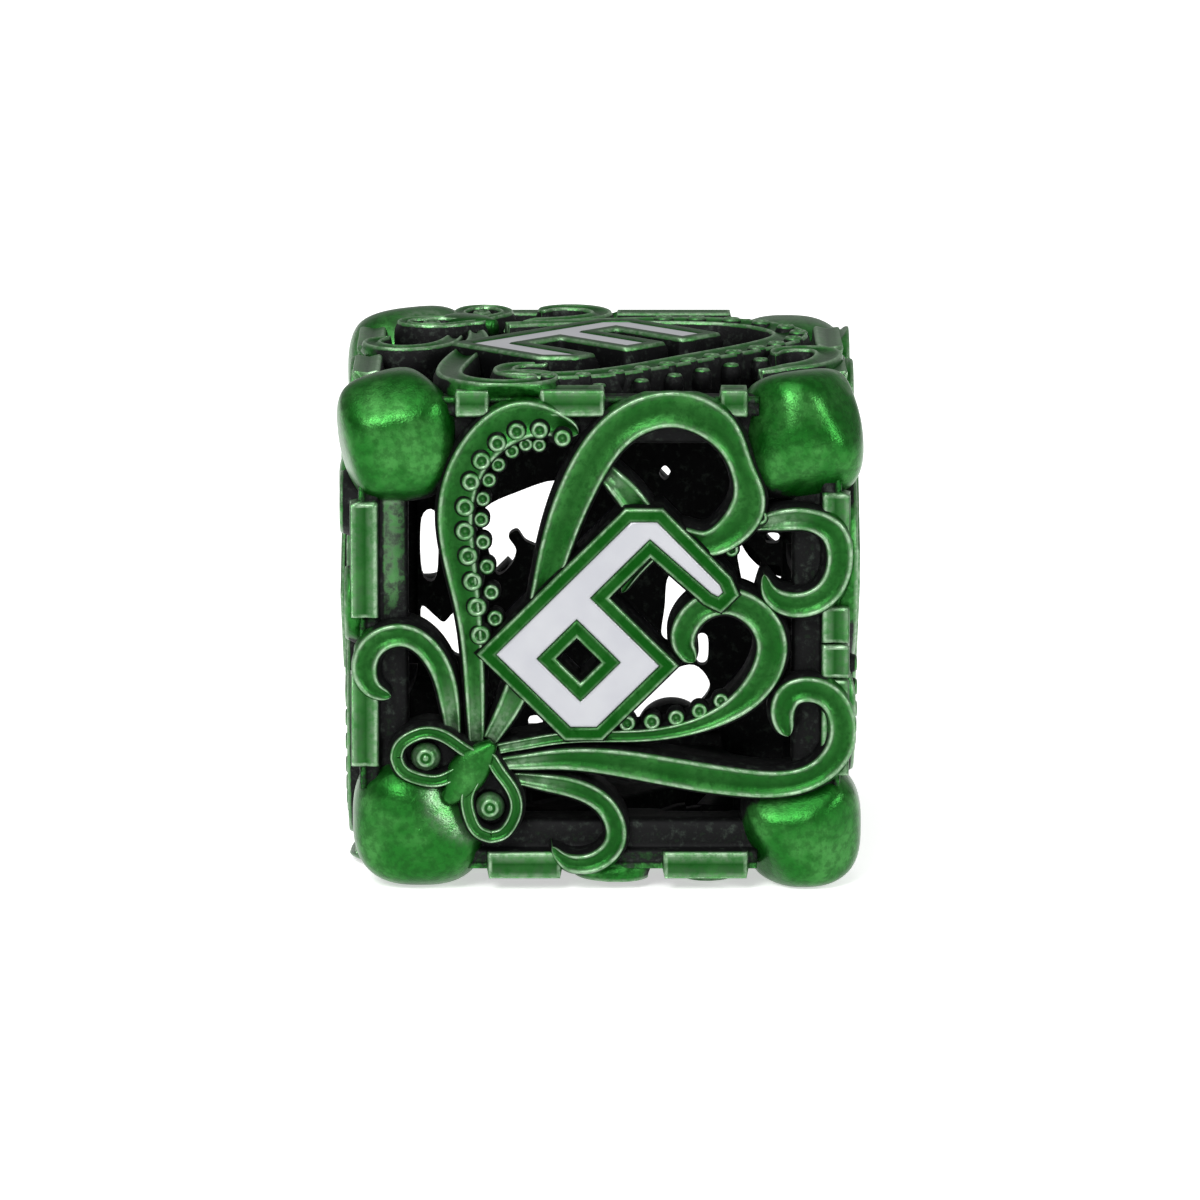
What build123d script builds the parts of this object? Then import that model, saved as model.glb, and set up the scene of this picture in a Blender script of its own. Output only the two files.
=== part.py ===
"""Hollow cast six-sided die, 17 mm across, with an octopus on every face.

Twelve square rails run along the edges of a cube between eight rounded corners.  On each face an
octopus sits with its mantle on one corner and spreads its arms over the window between the rails.
A raised plate with an enamel number crosses the arms, turned 45 degrees to the edges.  Inside the back
face a thin web joins the arms and leaves only small windows.

Each face is drawn in its own frame: x to the right, y up, z out of the face, the origin at the centre
of the cube and the octopus's mantle at the lower left.  The six frames are then placed round the cube
so that opposite numbers add up to seven.
"""

import os

from build123d import *

os.makedirs("parts", exist_ok=True)

# Distances from the centre of the cube
half_size = 8.5  # outside of the corners and of the number plates
rail_outside = 8.1
rail_block_inside = 7.15  # inner edge of the raised block along each rail
rail_shelf = 7.5  # outside of the lower shelf beside the block
rail_inside = 6.2
arm_outside = 8.2
arm_inside = 6.6
plate_inside = 6.6
enamel_inside = 8.1
enamel_outside = 8.45
sucker_outside = 8.35
low_sucker_inside = 7.55
low_sucker_outside = 8.0
web_inside = 6.1
web_outside = 6.6

# Corners
knob_size = 3.95
knob_round = 1.5
rail_chamfer = 0.2
rail_length = 10.2

# The octopus's head, in the frame of its face
mantle = (-5.85, -6.3, 4.4)  # x, y, size
small_mantles = {2: (-6.5, -6.5, 3.95), 4: (-6.52, -6.5, 3.95)}  # faces whose mantle is smaller
mantle_round = 1.7
brow_inside = 6.6
brow_outside = 8.3
brow_slope = 0.45
bridge = (-4.2, -4.5, 0.85, 1.25, -30)  # x, y, half width, half length, turn
brows = [(-5.45, -3.95, 1.55, 1.0, -8), (-3.5, -5.65, 1.0, 1.4, 15)]
eye_radius = 0.45
eye_inside = 7.6
eye_outside = 8.4
eye_round = 0.35
eyes = [(-5.6, -4.05), (-3.62, -5.8)]

# Number plates: strokes of a squared font, centred on the face and turned
stroke = 0.9
border = 0.43
left, right = -2.0, 2.0
bottom, middle, top = -2.75, 0.3, 4.0
plate_chamfer = 0.85

# Each arm is a list of (x, y, width) along its centreline, from the head to the tip
left_curl = [
    (-4.75, -3.3, 0.5), (-4.9, -1.9, 0.68), (-5.25, -0.85, 0.74), (-6.3, 0.03, 0.76),
    (-7.35, -0.35, 0.82), (-7.6, -1.1, 0.82), (-7.3, -1.75, 0.6), (-6.75, -1.97, 0.3),
]
left_arm = [
    (-4.0, -3.55, 0.5), (-4.05, -1.5, 0.68), (-4.2, 0.5, 0.8), (-4.5, 2.4, 1.05),
    (-4.65, 4.0, 1.15), (-4.0, 6.0, 1.2), (-2.4, 7.1, 1.25), (-0.7, 6.6, 0.5),
]
arch_arm = [
    (-3.55, -3.45, 0.5), (-2.8, -2.0, 0.8), (-2.0, 0.5, 0.85), (-1.4, 3.0, 1.05),
    (-0.65, 5.0, 1.2), (0.8, 6.95, 1.2), (2.5, 7.43, 1.2), (3.9, 6.75, 1.1),
    (4.6, 5.4, 0.8), (4.78, 4.45, 1.1), (4.2, 3.45, 1.05), (3.3, 3.05, 0.85),
    (2.4, 3.25, 0.75), (1.5, 2.6, 0.5), (0.7, 1.4, 0.2),
]
inner_arm = [
    (-0.3, 5.7, 0.5), (0.6, 4.95, 0.75), (1.3, 4.05, 0.85), (1.9, 3.0, 0.6),
]
right_arm = [
    (-3.3, -3.75, 0.35), (-1.0, -3.32, 0.4), (1.5, -3.25, 0.42), (3.6, -2.75, 0.6),
    (5.1, -1.6, 0.95), (5.5, 0.0, 1.0), (4.2, 1.15, 0.9), (2.85, 0.5, 0.85),
    (2.7, -0.35, 0.75), (3.05, -0.85, 0.5),
]
low_arm = [
    (-3.3, -4.25, 0.4), (-1.0, -4.03, 0.75), (1.6, -4.33, 0.95), (4.5, -4.8, 0.95),
    (7.1, -4.45, 0.85), (7.85, -3.2, 0.9), (7.2, -1.85, 0.85), (6.1, -1.95, 0.85),
    (5.9, -2.7, 0.75), (6.1, -3.25, 0.5),
]
bottom_curl = [
    (-2.8, -4.75, 0.4), (-1.1, -4.95, 0.65), (0.2, -5.65, 0.68), (0.5, -6.75, 0.7),
    (-0.3, -7.5, 0.68), (-1.15, -7.4, 0.5), (-1.55, -6.95, 0.15),
]
corner_curl = [
    (4.95, 3.6, 0.35), (5.75, 3.8, 0.7), (6.75, 3.82, 0.75), (7.5, 3.4, 0.85),
    (7.72, 2.5, 0.85), (7.2, 1.35, 0.85), (6.25, 1.04, 0.83), (5.5, 1.4, 0.6), (5.28, 2.05, 0.15),
]
sweeping_arm = [
    (-3.6, -3.1, 0.65), (-4.1, -1.0, 0.75), (-4.5, 2.0, 1.0), (-3.9, 4.9, 1.15),
    (-1.8, 6.3, 1.2), (0.6, 5.3, 1.2), (2.9, 3.2, 1.15), (5.2, 1.0, 1.1),
    (6.4, -1.3, 1.0), (5.8, -3.0, 0.8), (4.5, -2.8, 0.65), (4.4, -1.7, 0.3),
]
top_curl = [
    (4.9, 5.2, 0.4), (4.2, 6.6, 0.8), (2.7, 7.4, 0.95), (1.1, 7.1, 0.85),
    (1.3, 5.95, 0.6), (2.2, 5.75, 0.2),
]
back_arm = [
    (-3.7, -3.2, 0.65), (-4.4, -0.8, 0.9), (-4.1, 2.0, 1.15), (-3.1, 4.3, 1.25),
    (-1.0, 4.85, 1.2), (0.6, 4.75, 1.0), (1.35, 5.3, 0.7), (1.3, 6.3, 0.3),
]

# The windows in the back face's web, each a smooth loop through a few points
web_windows = [
    [(-1.3, 5.55), (-1.2, 6.05), (0.7, 6.05), (0.8, 5.55)],
    [(1.85, 6.05), (2.2, 5.6), (2.4, 5.3), (2.1, 4.9), (3.0, 4.5), (3.6, 4.8), (2.9, 5.6), (2.6, 6.05)],
    [
        (-1.4, 4.0), (-2.05, 2.9), (-2.4, 1.3), (-0.35, 1.7), (-0.35, 2.45), (-0.75, 2.8),
        (-0.55, 3.1), (-0.1, 2.85), (0.4, 3.0), (0.75, 3.5), (-0.3, 3.85),
    ],
    [(-3.0, -2.2), (-2.75, -2.0), (-2.5, -2.2), (-2.75, -2.4)],
    [(-0.25, -4.7), (-0.2, -5.1), (0.3, -5.45), (0.9, -5.3), (1.5, -5.1), (1.3, -4.75)],
    [(-0.65, -5.65), (-0.65, -6.05), (-0.35, -6.05), (-0.35, -5.65)],
    [(0.5, -5.6), (0.5, -6.1), (1.1, -6.1), (1.1, -5.6)],
    [(0.8, -2.35), (1.0, -3.1), (1.7, -3.3), (3.0, -2.5), (2.9, -2.1), (1.9, -2.2)],
    [(3.9, -3.2), (4.6, -3.75), (5.3, -3.3), (5.7, -2.3), (5.8, -1.0), (5.0, -1.0), (4.2, -2.2)],
    [(2.9, -3.3), (2.9, -3.65), (3.8, -3.65), (3.8, -3.3)],
    [(5.7, 2.0), (5.7, 2.4), (6.1, 2.4), (6.1, 2.0)],
]

# The arms of a face in two groups, each from the top layer down, and the suckers: arm, first and last
# place as fractions of its length, count, offset from its centreline, radius, and whether they sit on
# top of the arm or lower, against its side
wide_layout = {
    "sucker_arms": [arch_arm, left_arm, right_arm, inner_arm],
    "curled_arms": [low_arm, corner_curl, left_curl, bottom_curl],
    "suckers": [
        (left_arm, 0.27, 0.97, 12, -0.3, 0.26, True),
        (left_arm, 0.32, 0.9, 9, -0.82, 0.26, False),
        (right_arm, 0.25, 0.49, 5, 0.5, 0.26, False),
        (arch_arm, 0.77, 0.82, 2, 0.55, 0.2, False),
    ],
}
diagonal_layout = {
    "sucker_arms": [sweeping_arm],
    "curled_arms": [low_arm, top_curl, left_curl, bottom_curl],
    "suckers": [
        (sweeping_arm, 0.2, 0.85, 15, 0.3, 0.26, True),
        (sweeping_arm, 0.54, 0.8, 6, 0.8, 0.26, False),
    ],
}
back_layout = {
    "sucker_arms": [back_arm],
    "curled_arms": [low_arm, corner_curl, left_curl, bottom_curl],
    "suckers": [
        (back_arm, 0.2, 0.75, 10, -0.3, 0.26, True),
    ],
}

# number: x direction of the face, its outward direction, the turn of the number, the arms
faces = {
    6: ((1, 0, 0), (0, -1, 0), -45, wide_layout),
    3: ((0, -1, 0), (0, 0, 1), -135, diagonal_layout),
    5: ((0, 0, 1), (1, 0, 0), -45, wide_layout),
    2: ((0, 1, 0), (-1, 0, 0), -45, wide_layout),
    4: ((-1, 0, 0), (0, 0, -1), -135, diagonal_layout),
    1: ((0, 0, -1), (0, 1, 0), -45, back_layout),
}


def face_plane(number, height):
    """The plane parallel to a face, at this distance from the centre of the cube."""
    x_direction, outward, _, _ = faces[number]
    return Plane(origin=Vector(outward) * height, x_dir=x_direction, z_dir=outward)


def ribbon(points):
    """The flat outline of an arm: two splines beside its centreline, closed at both ends."""
    centres = [Vector(x, y) for x, y, _ in points]
    before = [centres[0]] + centres[:-1]
    after = centres[1:] + [centres[-1]]
    ahead = [(b - a).normalized() for a, b in zip(before, after)]
    sides = [v.rotate(Axis.Z, 90) * (w / 2) for v, (_, _, w) in zip(ahead, points)]
    left_side = [c + s for c, s in zip(centres, sides)]
    right_side = [c - s for c, s in zip(centres, sides)]
    with BuildSketch() as outline:
        with BuildLine():
            Spline(*left_side)
            Line(left_side[-1], right_side[-1])
            Spline(*right_side)
            Line(left_side[0], right_side[0])
        make_face()
    return outline.sketch


def sucker_discs(arm, first, last, count, offset, radius):
    """A row of discs beside an arm's centreline, a little smaller towards its tip."""
    with BuildLine() as centreline:
        Spline(*[(x, y) for x, y, _ in arm])
    spine = centreline.line
    with BuildSketch() as discs:
        for k in range(count):
            place = first + (last - first) * k / (count - 1)
            side = (spine % place).rotate(Axis.Z, 90)
            with Locations(spine @ place + side * offset):
                Circle(radius * (1 - 0.15 * k / count))
    return discs.sketch


def number_bars(number):
    """The strokes of a number as (left, bottom, right, top) rectangles."""
    bars = {
        "bottom": (left, bottom, right, bottom + stroke),
        "middle": (left, middle - stroke / 2, right, middle + stroke / 2),
        "top": (left, top - stroke, right, top),
        "lower left": (left, bottom, left + stroke, middle + stroke / 2),
        "upper left": (left, middle - stroke / 2, left + stroke, top),
        "lower right": (right - stroke, bottom, right, middle + stroke / 2),
        "upper right": (right - stroke, middle - stroke / 2, right, top),
        "stem": (-stroke / 2, bottom, stroke / 2, top),
        "flag": (-3 * stroke / 2, top - stroke, stroke / 2, top),
        "foot": (-3 * stroke / 2, bottom, 3 * stroke / 2, bottom + stroke),
    }
    used = {
        1: ["stem", "flag", "foot"],
        2: ["top", "upper right", "middle", "lower left", "bottom"],
        3: ["top", "upper right", "middle", "lower right", "bottom"],
        4: ["upper left", "middle", "upper right", "lower right"],
        5: ["top", "upper left", "middle", "lower right", "bottom"],
        6: ["top", "upper left", "lower left", "middle", "lower right", "bottom"],
    }
    return [bars[name] for name in used[number]]


def number_outline(number, grow):
    """The outline of a number, grown all round, with two chamfered corners, turned as on its face."""
    with BuildSketch() as upright:
        for x0, y0, x1, y1 in number_bars(number):
            with Locations(((x0 + x1) / 2, (y0 + y1) / 2)):
                Rectangle(x1 - x0 + 2 * grow, y1 - y0 + 2 * grow)
        for x, y in [(left - grow, top + grow), (right + grow, bottom - grow)]:
            with Locations((x, y)):
                Rectangle(plate_chamfer, plate_chamfer, rotation=45, mode=Mode.SUBTRACT)
    with BuildSketch() as turned:
        add(upright.sketch, rotation=faces[number][2])
    return turned.sketch


def head_outline(number):
    """What the octopus's head covers on its face."""
    mantle_x, mantle_y, size = small_mantles.get(number, mantle)
    with BuildSketch() as outline:
        with Locations((mantle_x, mantle_y)):
            RectangleRounded(size, size, mantle_round)
        for x, y, half_width, half_length, turn in [bridge] + brows:
            with Locations((x, y)):
                Ellipse(half_width, half_length, rotation=turn)
    return outline.sketch


def save(piece, name):
    """Labels a finished piece and writes its file."""
    piece.part.label = name
    export_step(piece.part, f"parts/{name}.step")


arms_on_face = {number: [] for number in faces}  # the finished arms of each face
corner_pieces = []  # the finished heads and plain knobs

# Number plates with a pocket that the enamel fills almost to the top
for number in faces:
    with BuildPart() as plate:
        with BuildSketch(face_plane(number, plate_inside)):
            add(number_outline(number, border))
        extrude(amount=half_size - plate_inside)
        with BuildSketch(face_plane(number, enamel_inside)):
            add(number_outline(number, 0))
        extrude(amount=half_size - enamel_inside, mode=Mode.SUBTRACT)
    save(plate, f"number_plate_{number}")

    with BuildPart() as enamel:
        with BuildSketch(face_plane(number, enamel_inside)):
            add(number_outline(number, 0))
        extrude(amount=enamel_outside - enamel_inside)
    save(enamel, f"number_enamel_{number}")

# Arms: flat ribbons in layers, under the number plate and the head, mitred along the cube's edges
for number, (_, _, _, layout) in faces.items():
    covers = [number_outline(number, border), head_outline(number)]
    for group in ("sucker_arms", "curled_arms"):
        with BuildPart() as arms:
            for arm in layout[group]:
                outline = ribbon(arm)
                with BuildSketch(face_plane(number, arm_inside)):
                    add(outline)
                    for cover in covers:
                        add(cover, mode=Mode.SUBTRACT)
                extrude(amount=arm_outside - arm_inside)
                covers.append(outline)
            with BuildSketch(face_plane(number, rail_inside)):
                Rectangle(2 * rail_inside, 2 * rail_inside)
            extrude(amount=half_size - rail_inside, taper=-45, mode=Mode.INTERSECT)
        save(arms, f"{group}_{number}")
        arms_on_face[number].append(arms)

# Suckers: discs on top of the arms, and lower ones against their sides
for number, (_, _, _, layout) in faces.items():
    arm_outlines = [ribbon(arm) for arm in layout["sucker_arms"] + layout["curled_arms"]]
    covers = [number_outline(number, border), head_outline(number)]
    with BuildPart() as suckers:
        for arm, first, last, count, offset, radius, on_top in layout["suckers"]:
            base = arm_outside if on_top else low_sucker_inside
            end = sucker_outside if on_top else low_sucker_outside
            discs = sucker_discs(arm, first, last, count, offset, radius)
            with BuildSketch(face_plane(number, base)):
                add(discs)
                for cover in covers if on_top else covers + arm_outlines:
                    add(cover, mode=Mode.SUBTRACT)
            extrude(amount=end - base)
    save(suckers, f"suckers_{number}")

# Heads: a rounded mantle on the corner, a bridge and two brows with a ball socket in each
for number in faces:
    mantle_x, mantle_y, size = small_mantles.get(number, mantle)
    with BuildPart() as head:
        with BuildSketch(face_plane(number, half_size - size)):
            with Locations((mantle_x, mantle_y)):
                Rectangle(size, size)
        extrude(amount=size)
        fillet(head.edges(), mantle_round)
        for x, y, half_width, half_length, turn in [bridge] + brows:
            with BuildSketch(face_plane(number, brow_inside)):
                with Locations((x, y)):
                    Ellipse(half_width, half_length, rotation=turn)
            with BuildSketch(face_plane(number, brow_outside)):
                with Locations((x, y)):
                    Ellipse(half_width - brow_slope, half_length - brow_slope, rotation=turn)
            loft()
        with BuildSketch(face_plane(number, eye_inside)):
            with Locations(eyes):
                Circle(eye_radius)
        extrude(amount=half_size - eye_inside, mode=Mode.SUBTRACT)
        for neighbour, groups in arms_on_face.items():
            if neighbour != number:
                for group in groups:
                    add(group.part, mode=Mode.SUBTRACT)
    save(head, f"octopus_head_{number}")
    corner_pieces.append(head)

    with BuildPart() as eyeballs:
        with BuildSketch(face_plane(number, eye_inside)):
            with Locations(eyes):
                Circle(eye_radius)
        extrude(amount=eye_outside - eye_inside)
        outward = Axis((0, 0, 0), faces[number][1])
        fillet(eyeballs.faces().sort_by(outward)[-2:].edges(), eye_round)
    save(eyeballs, f"octopus_eyes_{number}")

# The two corners that carry no head are plain rounded knobs
for name, corner in {"top_right_knob": (1, -1, 1), "back_left_knob": (-1, 1, -1)}.items():
    with BuildPart() as knob:
        with Locations(Vector(corner) * (half_size - knob_size / 2)):
            Box(knob_size, knob_size, knob_size)
        fillet(knob.edges(), knob_round)
        for arms in arms_on_face.values():
            for group in arms:
                add(group.part, mode=Mode.SUBTRACT)
    save(knob, name)
    corner_pieces.append(knob)

# The web inside the back face, which the arms lie on, ends at the rails and the corner pieces
with BuildPart() as web:
    with BuildSketch(face_plane(1, web_inside)):
        Rectangle(2 * rail_inside, 2 * rail_inside)
        for window in web_windows:
            with BuildLine():
                Spline(*window, periodic=True)
            make_face(mode=Mode.SUBTRACT)
    extrude(amount=web_outside - web_inside)
    for corner_piece in corner_pieces:
        add(corner_piece.part, mode=Mode.SUBTRACT)
save(web, "back_web")

# Edge rails: a raised block on the corner of a stepped bar, notched where arms of either face cross it
sides = {
    "front": Vector(0, -1, 0), "back": Vector(0, 1, 0), "left": Vector(-1, 0, 0),
    "right": Vector(1, 0, 0), "bottom": Vector(0, 0, -1), "top": Vector(0, 0, 1),
}
cube_edges = [(a, b) for a in sides for b in sides if a < b and sides[a].dot(sides[b]) == 0]
rail_corners = [
    (rail_inside, rail_inside), (rail_shelf, rail_inside), (rail_shelf, rail_block_inside),
    (rail_outside, rail_block_inside), (rail_outside, rail_outside - rail_chamfer),
    (rail_outside - rail_chamfer, rail_outside), (rail_block_inside, rail_outside),
    (rail_block_inside, rail_shelf), (rail_inside, rail_shelf),
]
for first, second in cube_edges:
    along = sides[first].cross(sides[second])
    with BuildPart() as rail:
        with BuildSketch(Plane(along * (-rail_length / 2), x_dir=sides[first], z_dir=along)):
            with BuildLine():
                Polyline(*rail_corners, close=True)
            make_face()
        extrude(amount=rail_length)
        for arms in arms_on_face.values():
            for group in arms:
                add(group.part, mode=Mode.SUBTRACT)
        for corner_piece in corner_pieces:
            add(corner_piece.part, mode=Mode.SUBTRACT)
    save(rail, f"{first}_{second}_rail")
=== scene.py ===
"""Looks of a hollow cast-metal die: an octopus on every face, candy-green lacquer, white enamel numbers.

Lengths are in millimetres until a mesh is made.  Each face is drawn in its own frame, as in the CAD
model: x to the right, y up, z out of the face, the origin at the centre of the cube, and the octopus's
mantle at the lower left.

Every lacquered mesh carries three values at each vertex, which its material reads: the wash value is the
black antique wash together with painted shade in crevices, on inner walls and inside the die, "rub" is
where the lacquer is rubbed pale, and
"pool" is where it lies thick and deep.
"""

import math

import bpy
import numpy as np
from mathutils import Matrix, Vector
from mathutils.geometry import tessellate_polygon


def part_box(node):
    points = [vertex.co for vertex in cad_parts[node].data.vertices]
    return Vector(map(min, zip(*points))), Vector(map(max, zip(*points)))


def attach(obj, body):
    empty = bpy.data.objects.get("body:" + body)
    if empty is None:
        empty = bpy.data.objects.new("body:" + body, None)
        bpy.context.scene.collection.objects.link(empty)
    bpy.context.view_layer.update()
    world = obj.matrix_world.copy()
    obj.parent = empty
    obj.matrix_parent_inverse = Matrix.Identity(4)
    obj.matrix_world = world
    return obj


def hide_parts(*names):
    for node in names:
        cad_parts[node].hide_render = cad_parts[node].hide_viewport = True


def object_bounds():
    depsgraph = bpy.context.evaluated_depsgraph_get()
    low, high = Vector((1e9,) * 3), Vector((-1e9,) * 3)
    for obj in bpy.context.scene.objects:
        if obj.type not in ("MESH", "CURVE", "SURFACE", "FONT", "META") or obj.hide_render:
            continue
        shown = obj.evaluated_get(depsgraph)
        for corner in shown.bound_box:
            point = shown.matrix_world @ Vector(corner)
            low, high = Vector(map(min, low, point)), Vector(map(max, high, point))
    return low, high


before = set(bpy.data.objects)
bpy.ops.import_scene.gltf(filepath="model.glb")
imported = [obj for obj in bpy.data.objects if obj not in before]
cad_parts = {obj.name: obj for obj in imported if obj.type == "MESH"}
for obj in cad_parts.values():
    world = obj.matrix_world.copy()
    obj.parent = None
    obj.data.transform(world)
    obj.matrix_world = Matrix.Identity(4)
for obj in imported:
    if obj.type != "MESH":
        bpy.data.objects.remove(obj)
cad_low, cad_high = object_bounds()

MM = 0.001
HALF = cad_high[2] / MM  # centre of the cube to the outside of its corners and number plates

# ---------------------------------------------------------------------------------- camera and stage

CAMERA_DISTANCE = 31.8 * HALF * MM
CAMERA_HEIGHT = math.radians(11.3)
CAMERA_AIM = -0.05 * HALF * MM  # height of the point that the camera looks at
CAMERA_LENS = 244.1
SENSOR_WIDTH = 36.0


def make_camera():
    """A long lens, looking slightly down on the front face."""
    data = bpy.data.cameras.new("camera")
    data.lens = CAMERA_LENS
    data.sensor_width = SENSOR_WIDTH
    data.clip_start = 0.01
    data.clip_end = 20
    camera = bpy.data.objects.new("camera", data)
    camera.location = (
        0,
        -CAMERA_DISTANCE * math.cos(CAMERA_HEIGHT),
        CAMERA_DISTANCE * math.sin(CAMERA_HEIGHT) + CAMERA_AIM,
    )
    camera.rotation_euler = (math.pi / 2 - CAMERA_HEIGHT, 0, 0)
    bpy.context.scene.collection.objects.link(camera)
    bpy.context.scene.camera = camera


def add_light(name, kind, place, power, **settings):
    """A light that faces the die, from this place in metres."""
    data = bpy.data.lights.new(name, kind)
    data.energy = power
    for setting, value in settings.items():
        setattr(data, setting, value)
    light = bpy.data.objects.new(name, data)
    light.location = place
    light.rotation_euler = (-Vector(place)).to_track_quat("-Z", "Y").to_euler()
    bpy.context.scene.collection.objects.link(light)


def make_stage():
    """A white floor, white surroundings and soft lights."""
    world = bpy.data.worlds.new("studio")
    world.use_nodes = True
    background = world.node_tree.nodes["Background"]
    background.inputs["Color"].default_value = (1, 1, 1, 1)
    background.inputs["Strength"].default_value = 0.4
    bpy.context.scene.world = world
    bpy.context.scene.view_settings.view_transform = "Standard"

    reach = 3.0
    mesh = bpy.data.meshes.new("floor")
    corners = [(-reach, -reach), (reach, -reach), (reach, reach), (-reach, reach)]
    mesh.from_pydata([(x, y, cad_low[2]) for x, y in corners], [], [(0, 1, 2, 3)])
    floor = bpy.data.objects.new("floor", mesh)
    bpy.context.scene.collection.objects.link(floor)
    paper = bpy.data.materials.new("floor_paper")
    paper.use_nodes = True
    shader = paper.node_tree.nodes["Principled BSDF"]
    shader.inputs["Base Color"].default_value = (0.9, 0.9, 0.9, 1)
    shader.inputs["Roughness"].default_value = 0.9
    shader.inputs["Emission Color"].default_value = (1, 1, 1, 1)
    shader.inputs["Emission Strength"].default_value = 0.55
    mesh.materials.append(paper)

    add_light("sky", "SUN", (-0.3, -0.5, 1.0), 1.4, angle=math.radians(50))
    add_light("key", "AREA", (-0.10, -0.30, 0.20), 0.8, size=0.12)
    add_light("side", "AREA", (0.26, -0.20, 0.14), 0.5, size=0.10)


make_camera()
make_stage()

# ---------------------------------------------------------------------------------------- materials

# Linear red, green, blue and alpha
BLACK = (0.0045, 0.0047, 0.005, 1)
STREAK = (0.030, 0.040, 0.032, 1)
DEEP_GREEN = (0.0005, 0.045, 0.001, 1)
GREEN = (0.006, 0.108, 0.008, 1)
LIGHT_GREEN = (0.038, 0.19, 0.036, 1)
RUBBED = (0.33, 0.48, 0.32, 1)
ENAMEL = (0.31, 0.315, 0.34, 1)
LIGHT_ENAMEL = (0.345, 0.35, 0.37, 1)
# Painted grey shade where the enamel meets the metal
ENAMEL_EDGE_SHADE = (0.16, 0.22, 0.17, 1)


class Nodes:
    """Short calls that add and link shader nodes."""

    def __init__(self, material):
        material.use_nodes = True
        self.tree = material.node_tree
        self.shader = self.tree.nodes["Principled BSDF"]

    def link(self, output, target):
        self.tree.links.new(output, target)

    def set(self, target, value):
        if hasattr(value, "is_linked"):
            self.link(value, target)
        else:
            target.default_value = value

    def vertex_value(self, name):
        node = self.tree.nodes.new("ShaderNodeAttribute")
        node.attribute_name = name
        return node.outputs["Fac"]

    def noise(self, size, detail=4.0, roughness=0.55):
        """Noise whose blotches are about this many millimetres across."""
        node = self.tree.nodes.new("ShaderNodeTexNoise")
        node.inputs["Scale"].default_value = 1 / (size * MM)
        node.inputs["Detail"].default_value = detail
        node.inputs["Roughness"].default_value = roughness
        place = self.tree.nodes.new("ShaderNodeTexCoord").outputs["Object"]
        self.link(place, node.inputs["Vector"])
        return node.outputs["Fac"]

    def spread(self, value, low, high, to_low=0.0, to_high=1.0):
        """Maps low..high to to_low..to_high, smoothly and clamped."""
        node = self.tree.nodes.new("ShaderNodeMapRange")
        node.interpolation_type = "SMOOTHSTEP"
        self.link(value, node.inputs["Value"])
        limits = {"From Min": low, "From Max": high, "To Min": to_low, "To Max": to_high}
        for name, limit in limits.items():
            node.inputs[name].default_value = limit
        return node.outputs["Result"]

    def math(self, operation, first, second):
        node = self.tree.nodes.new("ShaderNodeMath")
        node.operation = operation
        node.use_clamp = True
        self.set(node.inputs[0], first)
        self.set(node.inputs[1], second)
        return node.outputs["Value"]

    def mix(self, factor, first, second):
        """Mixes two colours, whose sockets are the mix node's sixth and seventh."""
        node = self.tree.nodes.new("ShaderNodeMix")
        node.data_type = "RGBA"
        self.set(node.inputs[0], factor)
        self.set(node.inputs[6], first)
        self.set(node.inputs[7], second)
        return node.outputs[2]

    def bump(self, height, strength, distance):
        node = self.tree.nodes.new("ShaderNodeBump")
        node.inputs["Strength"].default_value = strength
        node.inputs["Distance"].default_value = distance * MM
        self.link(height, node.inputs["Height"])
        self.link(node.outputs["Normal"], self.shader.inputs["Normal"])


def lacquer(name, gloss=0.36, speckle=1.0, metallic=0.75):
    """Translucent green lacquer over cast metal, with black wash and painted shade in its recesses, and
    rubbed edges.
    """
    material = bpy.data.materials.new(name)
    n = Nodes(material)
    blotch = n.noise(1.3, 3.0)
    mottle = n.noise(0.28, 5.0, 0.65)
    grit = n.noise(0.07, 2.0)
    colour = n.mix(n.spread(blotch, 0.38, 0.7), GREEN, LIGHT_GREEN)
    colour = n.mix(n.spread(mottle, 0.40, 0.62, 0.0, 0.75 * speckle), colour, DEEP_GREEN)
    deep = n.math("MULTIPLY", n.vertex_value("pool"), n.spread(mottle, 0.25, 0.6, 1.0, 0.75))
    colour = n.mix(deep, colour, DEEP_GREEN)
    worn = n.math("MULTIPLY", n.vertex_value("rub"), n.spread(mottle, 0.35, 0.65, 0.25, 0.9))
    colour = n.mix(worn, colour, RUBBED)
    # Black and dark streaks where the wash value is high: antique wash together with painted shade.
    edge = n.math("ADD", n.vertex_value("wash"), n.spread(mottle, 0.35, 0.7, -0.12, 0.12))
    wash_and_shade_amount = n.spread(edge, 0.28, 0.72)
    colour = n.mix(wash_and_shade_amount, colour, n.mix(n.spread(mottle, 0.5, 0.75), BLACK, STREAK))
    n.link(colour, n.shader.inputs["Base Color"])
    n.link(n.spread(wash_and_shade_amount, 0.0, 1.0, gloss, 0.62), n.shader.inputs["Roughness"])
    n.shader.inputs["Metallic"].default_value = metallic
    n.shader.inputs["Specular IOR Level"].default_value = 0.4
    n.bump(n.math("ADD", n.math("MULTIPLY", mottle, 0.7), n.math("MULTIPLY", grit, 0.3)), 0.5, 0.035)
    return material


def enamel_material():
    """Smooth cool-white enamel, faintly uneven, with a painted grey shade where it meets the metal."""
    material = bpy.data.materials.new("white_enamel")
    n = Nodes(material)
    cloud = n.noise(1.6, 2.0)
    colour = n.mix(n.spread(cloud, 0.3, 0.7), ENAMEL, LIGHT_ENAMEL)
    # Painted grey shade along the enamel's edge, from the wash value.
    colour = n.mix(n.spread(n.vertex_value("wash"), 0.3, 0.9, 0.0, 0.75), colour, ENAMEL_EDGE_SHADE)
    n.link(colour, n.shader.inputs["Base Color"])
    n.shader.inputs["Roughness"].default_value = 0.28
    n.shader.inputs["Coat Weight"].default_value = 0.3
    n.shader.inputs["Coat Roughness"].default_value = 0.1
    n.bump(n.noise(0.5, 3.0), 0.25, 0.02)
    return material


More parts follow.
